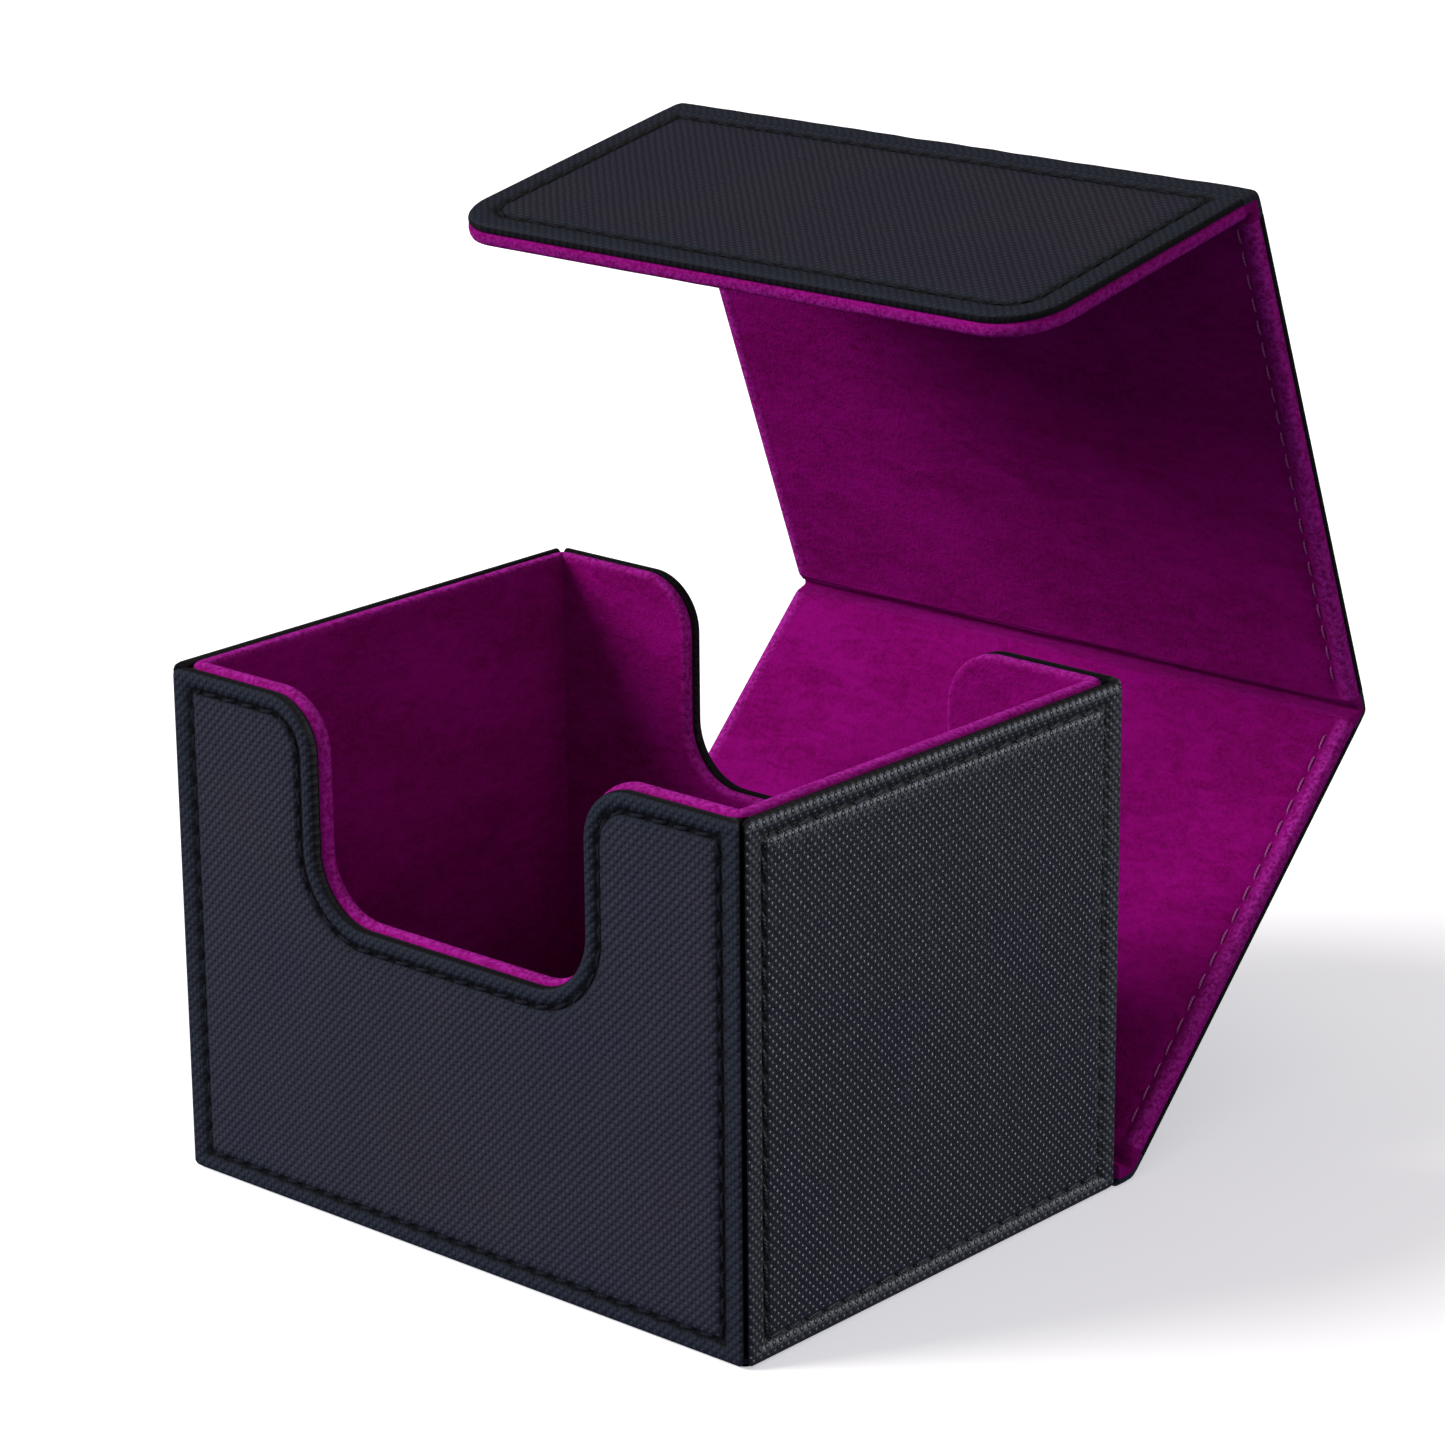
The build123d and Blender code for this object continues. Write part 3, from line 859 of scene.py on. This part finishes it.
def build_tray(name, half_width, half_depth, centre_y, radius, levels, finish, seed):
    """Build a flat rectangular piece from rings (height, inset), closed at both faces."""
    rectangle = [(-1, -1), (1, -1), (1, 1), (-1, 1)]
    shape = Shape()
    rings = []
    counts = None
    for height, inset in levels:
        corners = [
            (x * (half_width - inset), y * (half_depth - inset), max(radius - inset, 0.2))
            for x, y in rectangle
        ]
        counts = counts or path_counts(corners, TRAY_OUTLINE_STEP)
        rings.append(shape.ring(rounded_path(corners, counts), height))
    shape.bridge(rings)
    for ring, (height, _) in ((rings[0], levels[0]), (rings[-1], levels[-1])):
        dent = COVER_UNEVEN if height < levels[1][0] else -COVER_UNEVEN
        shape.fill(ring, lambda xy: height + dent * wavering(xy, seed), TRAY_FIELD_STEP)
    place = Placing((0, centre_y, 0), X_AXIS, Y_AXIS, Z_AXIS)
    return make_piece(name, shape, place, finish, seed)


base = build_tray(
    "base_leather_tray",
    HALF_WIDTH - BASE_SETBACK,
    HALF_DEPTH - BASE_SETBACK / 2,
    BASE_SETBACK / 2,
    1.2,
    ((0.0, 0.5), (0.02, 0.2), (0.07, 0.03), (0.12, 0.0), (0.14, 0.15), (0.14, 0.82), (1.38, 0.85)),
    LEATHER,
    9,
)
finish_piece(base, "box", "base_leather")

floor_top = FLOOR_HIGH[2]
floor = build_tray(
    "floor_suede",
    FLOOR_HIGH[0],
    FLOOR_HIGH[1],
    0,
    0.4,
    (
        (FLOOR_LOW[2], 0.02),
        (floor_top - 0.25, 0.02),
        (floor_top - 0.08, 0.15),
        (floor_top, 0.5),
        (floor_top, 1.5),
    ),
    SUEDE_CLOTH,
    10,
)
finish_piece(floor, "box", "floor_lining")


# ---------------- cover

# Leather: depth, then the distance in from the free edges and from the folds.
COVER_LEATHER_ROWS = (
    (1.30, 0.36, 0.00),
    (1.18, 0.12, 0.00),
    (0.95, 0.00, 0.00),
    (0.68, 0.01, 0.00),
    (0.40, 0.12, 0.00),
    (0.16, 0.38, 0.00),
    (0.03, 0.85, 0.04),
    (0.00, 1.45, 0.15),
    (0.04, 2.40, 0.35),
    (0.10, 3.20, 0.62),
    (0.22, 3.80, 0.95),
    (0.39, 4.20, 1.30),
    (0.47, 4.50, 1.60),
    (0.39, 4.80, 1.90),
    (0.20, 5.25, 2.35),
    (0.07, 6.10, 3.20),
    (0.03, 7.60, 4.70),
)
COVER_LEATHER = {
    "rows": COVER_LEATHER_ROWS,
    "seam": 12,
    "field": 10,
    "pucker_rings": 4,
    "uneven": lambda xy, seed: COVER_UNEVEN * wavering(xy, seed),
}

# Suede: the same, from the leather's side round the edge to the lined face.
COVER_SUEDE = (
    (1.33, 0.34, 0.00),
    (1.40, 0.12, 0.00),
    (1.62, -0.06, 0.00),
    (2.10, -0.14, 0.00),
    (2.70, -0.09, 0.00),
    (3.16, 0.10, 0.00),
    (3.40, 0.46, 0.00),
    (3.49, 0.95, 0.20),
    (3.49, 1.60, 0.60),
    (3.42, 2.08, 1.00),
    (3.28, 2.42, 1.30),
    (3.20, 2.70, 1.55),
    (3.28, 2.98, 1.80),
    (3.42, 3.30, 2.10),
    (3.50, 3.90, 2.70),
    (3.50, 5.40, 4.30),
)
SUEDE_SEAM = 2.7
SUEDE_FACE_RING = 6


def direction(heading):
    """Give the direction in the YZ plane that a panel runs in."""
    turn = math.radians(heading)
    return np.array((0.0, math.cos(turn), math.sin(turn)))


def outward(heading):
    """Give the direction that a panel's leather looks in."""
    turn = math.radians(heading)
    return np.array((0.0, math.sin(turn), -math.cos(turn)))


# The hinges' axes, how far each is bent from flat, and each panel's heading and length
JOINTS = {joint["name"]: joint for joint in frame["joints"]}
HINGES = [JOINTS[name] for name in ("back_hinge", "top_hinge", "flap_hinge")]
AXES = [np.array(hinge["pos_m"]) / MM for hinge in HINGES]
BENDS = [-hinge["range_deg"][0] for hinge in HINGES]
HEADINGS = np.concatenate(((0.0,), np.cumsum(BENDS)))
LENGTHS = [float(np.linalg.norm(far - near)) for near, far in zip(AXES[:-1], AXES[1:])]

PANELS = []
for i, (node, body, length) in enumerate(
    (
        ("back_cover", "back_panel", LENGTHS[0]),
        ("top_cover", "top_panel", LENGTHS[1]),
        ("front_flap", "front_flap", FLAP_LENGTH),
    )
):
    panel = {"node": node, "body": body, "axis": AXES[i], "heading": HEADINGS[i + 1]}
    panel["free_end"] = node == "front_flap"
    panel["start"] = FOLD_GAP
    panel["end"] = length if panel["free_end"] else length - FOLD_GAP
    PANELS.append(panel)


def free_distance(panel, points):
    """Give each point's distance in from the panel's free edges."""
    to_side = COVER_HALF_WIDTH - np.abs(points[:, 0])
    if not panel["free_end"]:
        return to_side
    to_end = panel["end"] - points[:, 1]
    corner = (to_side < FLAP_RADIUS) & (to_end < FLAP_RADIUS)
    rounded = FLAP_RADIUS - np.hypot(FLAP_RADIUS - to_side, FLAP_RADIUS - to_end)
    return np.where(corner, rounded, np.minimum(to_side, to_end))


def panel_placing(panel):
    """Place a cover panel's axes: across, away from its hinge, and in from the leather."""
    origin = panel["axis"] + outward(panel["heading"]) * FOLD_RADIUS
    return Placing(origin, X_AXIS, direction(panel["heading"]), -outward(panel["heading"]))


def build_cover_leather(panel, seed):
    """Build a cover panel's leather and the closed seam around it."""
    node = panel["node"]
    counts = path_counts(cover_corners(panel, 0, 0), OUTLINE_STEP)
    paths = [
        rounded_path(cover_corners(panel, free, fold), counts)
        for _, free, fold in COVER_LEATHER_ROWS
    ]
    nodes = (f"{node}_leather", f"{node}_leather_stitching")
    place = panel_placing(panel)
    build_leather(node, place, paths, COVER_LEATHER, seed, panel["body"], nodes)


def suede_depth(panel, points, seed):
    """Give the lined face's depth, with its edge and the groove of its seam."""
    table = np.array([row[:2] for row in COVER_SUEDE[SUEDE_FACE_RING:]])
    free = free_distance(panel, points)
    depth = np.interp(free, table[:, 1], table[:, 0])
    hidden_seam = (points[:, 0] < SUNK_SEAM_END) & (free > table[1, 1])
    depth = np.where(hidden_seam, depth * 0.25 + COVER * 0.75, depth)
    return depth - NAP_UNEVEN * wavering(points, seed)


def build_cover_suede(panel, seed):
    """Build a cover panel's lining and the seam along its free edges."""
    node = panel["node"]
    place = panel_placing(panel)
    counts = path_counts(cover_corners(panel, 0, 0), OUTLINE_STEP)
    shape = Shape()
    rings = []
    for i, (depth, free, fold) in enumerate(COVER_SUEDE):
        path = rounded_path(cover_corners(panel, free, fold), counts)
        depths = suede_depth(panel, path, seed) if i >= SUEDE_FACE_RING else depth
        # The suede's rolled edge is given painted sheen, most on its outer round.
        shine = np.interp(free_distance(panel, path), (0.2, 0.7, 1.2, 2.4), (0.6, 1.0, 0.6, 0.0))
        rings.append(shape.ring(path, depths, shine * np.interp(depth, (1.4, 2.4), (0.3, 1.0))))
    shape.bridge(rings)
    shape.fill(rings[0], COVER_SUEDE[0][0], HIDDEN_STEP)
    shape.fill(rings[-1], lambda xy: suede_depth(panel, xy, seed), FIELD_STEP)
    suede = make_piece(f"{node}_suede", shape, place, SUEDE_CLOTH, seed)
    finish_piece(suede, panel["body"], f"{node}_lining")

    stitches = Shape()
    seam = rounded_path(cover_corners(panel, SUEDE_SEAM, 0.3), counts)
    for middle, heading in stitch_places(seam):
        from_fold = middle[1] - panel["start"]
        if not panel["free_end"]:
            from_fold = min(from_fold, panel["end"] - middle[1])
        if from_fold < 2 and abs(heading[0]) > 0.3:
            continue
        depth = LINING_STITCH_SUNK if middle[0] < SUNK_SEAM_END else LINING_STITCH_DEPTH
        add_stitch(stitches, middle, heading, LINING_STITCH, depth, -1, LINING_STITCH_SLANT)
    thread = make_piece(f"{node}_lining_thread", stitches, place, LINING_THREAD, seed)
    finish_piece(thread, panel["body"], f"{node}_lining_stitching")


for number, panel in enumerate(PANELS):
    build_cover_leather(panel, number + 11)
    build_cover_suede(panel, number + 14)


# ---------------- folds

# Columns across a fold: those near a free edge by their distance from it, and the rest
EDGE_STATIONS = (0.0, 0.07, 0.16, 0.3, 0.5, 0.85, 1.4, 2.2, 3.2)
MIDDLE_START = 4.5
MIDDLE_COLUMNS = 50

# Samples of the bend's line, and rows along each layer of a fold
BEND_SAMPLES = 41
LEATHER_ROWS = 31
SUEDE_ROWS = 33


def stations_across():
    """Give the x of each column of a fold, close together at the free edges."""
    reach = COVER_HALF_WIDTH - MIDDLE_START
    middle = np.linspace(-reach, reach, MIDDLE_COLUMNS)
    left = -COVER_HALF_WIDTH + np.array(EDGE_STATIONS)
    return np.concatenate((left, middle, -left[::-1]))


def section(axis, heading, distance, depth):
    """Place a point of a fold: along the sheet from the axis, and in from the leather."""
    return axis + direction(heading) * distance + outward(heading) * (FOLD_RADIUS - depth)


class Bend:
    """The outer line of a fold's leather: flat, softly round the corner, and flat again."""

    def __init__(self, axis, heading_in, heading_out):
        self.axis = axis
        self.headings = (heading_in, heading_out)
        self.half = math.radians(heading_out - heading_in) / 2
        reach = BEND_REACH + FOLD_RADIUS * math.tan(self.half)
        handles = [
            section(axis, heading_in, -BEND_REACH, 0),
            section(axis, heading_in, -BEND_REACH + BULGE * reach, 0),
            section(axis, heading_out, BEND_REACH - BULGE * reach, 0),
            section(axis, heading_out, BEND_REACH, 0),
        ]
        line = [section(axis, heading_in, -FOLD_GAP, 0)]
        for share in np.linspace(0, 1, BEND_SAMPLES):
            weights = (
                (1 - share) ** 3,
                3 * share * (1 - share) ** 2,
                3 * share**2 * (1 - share),
                share**3,
            )
            line.append(sum(weight * handle for weight, handle in zip(weights, handles)))
        line.append(section(axis, heading_out, FOLD_GAP, 0))
        self.line = np.array(line)
        steps = np.linalg.norm(np.diff(self.line, axis=0), axis=1)
        self.travel = np.concatenate(((0.0,), np.cumsum(steps)))

    def point(self, share):
        """Give the point at a share of the line's length, and the way out from it."""
        at = share * self.travel[-1]
        near = np.clip((at - 0.2, at + 0.2), 0, self.travel[-1])
        places = [
            np.array([np.interp(where, self.travel, self.line[:, i]) for i in range(3)])
            for where in (at, *near)
        ]
        run = places[2] - places[1]
        run /= np.linalg.norm(run)
        return places[0], np.array((0.0, run[2], -run[1]))


def edge_depths(distances, depths):
    """Give how far a fold's face turns down along its two free edges."""
    edge = COVER_HALF_WIDTH - np.abs(stations_across())
    return np.interp(edge, distances, depths)


def row_of_points(point, inward, depths):
    """Spread a point of the section across the cover, at one depth or one for each station."""
    across = stations_across()
    row = point + inward * np.broadcast_to(depths, len(across))[:, None]
    row[:, 0] = across
    return row


def build_fold(name, outer, inner, travels, finish, seed):
    """Build a strip between its outer and inner rows of points."""
    across = stations_across()
    surface = []
    for side in (0.0, 1.0):
        for travel in travels:
            columns = (across, np.full(len(across), travel), np.full(len(across), side))
            surface.append(np.column_stack(columns))
    shape = Shape()
    # Leather folds take the welt's colour, and suede folds a faint painted sheen.
    shape.add(np.concatenate(surface), 1.0 if finish is LEATHER else 0.1)
    count = len(travels) * len(across)
    numbers = np.arange(2 * count).reshape(2, len(travels), len(across))
    shape.sheet(numbers[0], numbers[1])
    positions = np.concatenate((*outer, *inner))
    return make_piece(name, shape, lambda _: positions, finish, seed)


def fold_leather(bend, name, seed):
    """Build the leather of a fold, with faint wrinkles where it bends."""
    across = stations_across()
    round_over = edge_depths((0, 0.06, 0.14, 0.4, 0.85, 1.45), (0.6, 0.52, 0.42, 0.16, 0.03, 0))
    outer = []
    inner = []
    travels = []
    for share in np.linspace(0, 1, LEATHER_ROWS):
        point, out = bend.point(share)
        travel = share * bend.travel[-1]
        free = math.sin(math.pi * share) ** 2
        wrinkle = 0.06 * free * ripple(across, travel * 3.0, seed, 20.0)
        outer.append(row_of_points(point, -out, round_over + wrinkle))
        inner.append(row_of_points(point, -out, COVER_PANEL))
        travels.append(travel)
    return build_fold(name, outer, inner, travels, LEATHER, seed)


def fold_suede(bend, name, seed, valley):
    """Build the suede of a fold: a soft valley from one lined face down and up again."""
    across = stations_across()
    round_over = edge_depths((-0.1, 0.0, 0.18, 0.5, 1.0), (0.7, 0.62, 0.28, 0.08, 0.0))
    floor_reach = (valley - FOLD_RADIUS) * math.tan(bend.half)
    upper = []
    lower = []
    travels = []
    for i, share in enumerate(np.linspace(0, 1, SUEDE_ROWS)):
        on_far_side = share > 0.5
        down = 1 - abs(2 * share - 1)
        heading = bend.headings[1 if on_far_side else 0]
        reach = FOLD_GAP + (floor_reach - FOLD_GAP) * down
        sinking = (1 - math.cos(math.pi * down**1.3)) / 2
        depth = COVER - (COVER - valley) * sinking - round_over * (1 - 0.65 * sinking)
        soft = math.sin(math.pi * min(down, 0.9))
        wrinkle = 0.09 * soft * (1 + ripple(across * 0.5, i * 1.9, seed, 16.0))
        top = section(bend.axis, heading, reach if on_far_side else -reach, 0)
        upper.append(row_of_points(top, -outward(heading), depth - wrinkle))
        point, out = bend.point(share)
        lower.append(row_of_points(point, -out, COVER_PANEL + 0.02))
        travels.append(i * 0.4)
    return build_fold(name, upper, lower, travels, SUEDE_CLOTH, seed)


# Each fold's two bodies and the depth of its valley
FOLDS = (
    ("base_hinge", "box", "back_panel", 2.4),
    ("rear_hinge", "back_panel", "top_panel", 2.4),
    ("front_hinge", "top_panel", "front_flap", 3.0),
)
for i, (node, first_body, second_body, valley) in enumerate(FOLDS):
    bend = Bend(AXES[i], HEADINGS[i], HEADINGS[i + 1])
    leather = fold_leather(bend, f"{node}_leather_strip", 20 + i)
    lining = fold_suede(bend, f"{node}_lining_strip", 20 + i, valley)
    for strip, layer, slot, depth in (
        (leather, "leather", "grained_leather", SKIN),
        (lining, "lining", "suede_lining", COVER),
    ):
        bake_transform(strip)
        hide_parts(f"{node}_{layer}")

for name, node in frame["nodes"].items():
    for ending, look in HIDDEN_LOOKS.items():
        if name.endswith(ending):
            node.data.materials.clear()
            node.data.materials.append(look)

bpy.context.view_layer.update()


# ---------------- studio

GROUND_REACH = 30.0
ground = bmesh.new()
bmesh.ops.create_grid(ground, x_segments=24, y_segments=24, size=GROUND_REACH)
ground_mesh = bpy.data.meshes.new("studio_ground")
ground.to_mesh(ground_mesh)
ground.free()
ground_mesh.materials.append(make_floor())
ground_object = bpy.data.objects.new("studio_ground", ground_mesh)
bpy.context.scene.collection.objects.link(ground_object)

# The floor catches shadows but doesn't throw its own brightness back onto the box
ground_object.visible_diffuse = False
ground_object.visible_glossy = False

# The sky is brightest overhead and dimmest low down behind the box's left rear edge
SKY_DIM_SIDE = (-0.66, 0.75, 0.0)
SKY_LOW = (0.66, 0.71, 1.0)
SKY_HIGH = (1.0, 0.94, 0.88)
world = bpy.data.worlds.new("studio")
world.use_nodes = True
sky = world.node_tree
sky_where = add_node(sky, "ShaderNodeTexCoord").outputs["Generated"]
sky_height = axes_of(sky, sky_where)["Z"]
sky_behind = combine(sky, "DOT_PRODUCT", sky_where, SKY_DIM_SIDE, "Value")
sky_level = rescale(sky, sky_height, 0.25, 1.0, 0.17, 0.45)
sky_dimming = rescale(sky, sky_behind, 0.3, 0.85, 1.0, 0.3)
sky_strength = calculate(sky, "MULTIPLY", sky_level, sky_dimming)
sky_warmth = rescale(sky, sky_height, -0.3, 0.5, 0.0, 1.0)
sky_colour = blend_colours(sky, sky_warmth, SKY_LOW, SKY_HIGH)
feed(sky, sky.nodes["Background"], {"Strength": sky_strength, "Color": sky_colour})
bpy.context.scene.world = world


def add_sun(name, source, strength, angle, colour, on_gloss):
    """Add a distant lamp from a direction; it serves either gloss or matt surfaces."""
    lamp = bpy.data.lights.new(name, "SUN")
    lamp.energy = strength
    lamp.angle = math.radians(angle)
    lamp.color = colour
    holder = bpy.data.objects.new(name, lamp)
    bpy.context.scene.collection.objects.link(holder)
    holder.rotation_euler = Vector(source).to_track_quat("Z", "Y").to_euler()
    holder.visible_diffuse = not on_gloss
    holder.visible_glossy = on_gloss
    return holder


add_sun("key", (-0.60, -0.60, 0.53), 3.8, 32, (1.0, 0.985, 0.96), False)
add_sun("fill", (0.60, -0.78, 0.12), 0.28, 50, (1.0, 0.97, 0.93), False)
add_sun("side_fill", (0.92, 0.0, 0.38), 0.62, 30, (1.0, 0.97, 0.93), False)
add_sun("front_sheen", (-0.80, -0.58, 0.14), 0.56, 84, (0.76, 0.82, 1.0), True)
glint = add_sun("side_glint", (0.68, 0.71, 0.20), 3.0, 40, (0.88, 0.93, 1.0), True)

# The glint lamp serves the walls' leather alone, so the cover's top takes no white sheen.
lit_by_glint = bpy.data.collections.new("lit_by_side_glint")
for wall in WALLS:
    for part in ("leather_panel", "seam_thread"):
        lit_by_glint.objects.link(bpy.data.objects[f"{wall['name']}_{part}"])
glint.light_linking.receiver_collection = lit_by_glint

# Camera: a long lens, a little above the box and to the right of its front
CAMERA_ANGLES = (41.67, 17.71, -0.53)
CAMERA_PLACE = (424.82, -461.03, 267.95)
CAMERA_LENS = 118.63
azimuth, elevation, roll = (math.radians(angle) for angle in CAMERA_ANGLES)
back = Vector(
    (
        math.sin(azimuth) * math.cos(elevation),
        -math.cos(azimuth) * math.cos(elevation),
        math.sin(elevation),
    )
)
level = (-back).cross(Vector((0, 0, 1))).normalized()
upright = back.cross(level)
right = level * math.cos(roll) + upright * math.sin(roll)
top = upright * math.cos(roll) - level * math.sin(roll)
pose = Matrix((right, top, back)).transposed().to_4x4()
pose.translation = Vector(CAMERA_PLACE) * MM
camera_data = bpy.data.cameras.new("camera")
camera_data.lens = CAMERA_LENS
camera_data.sensor_width = 36
camera_data.clip_start = 0.01
camera = bpy.data.objects.new("camera", camera_data)
camera.matrix_world = pose
bpy.context.scene.collection.objects.link(camera)
bpy.context.scene.camera = camera
bpy.context.scene.view_settings.view_transform = "Standard"
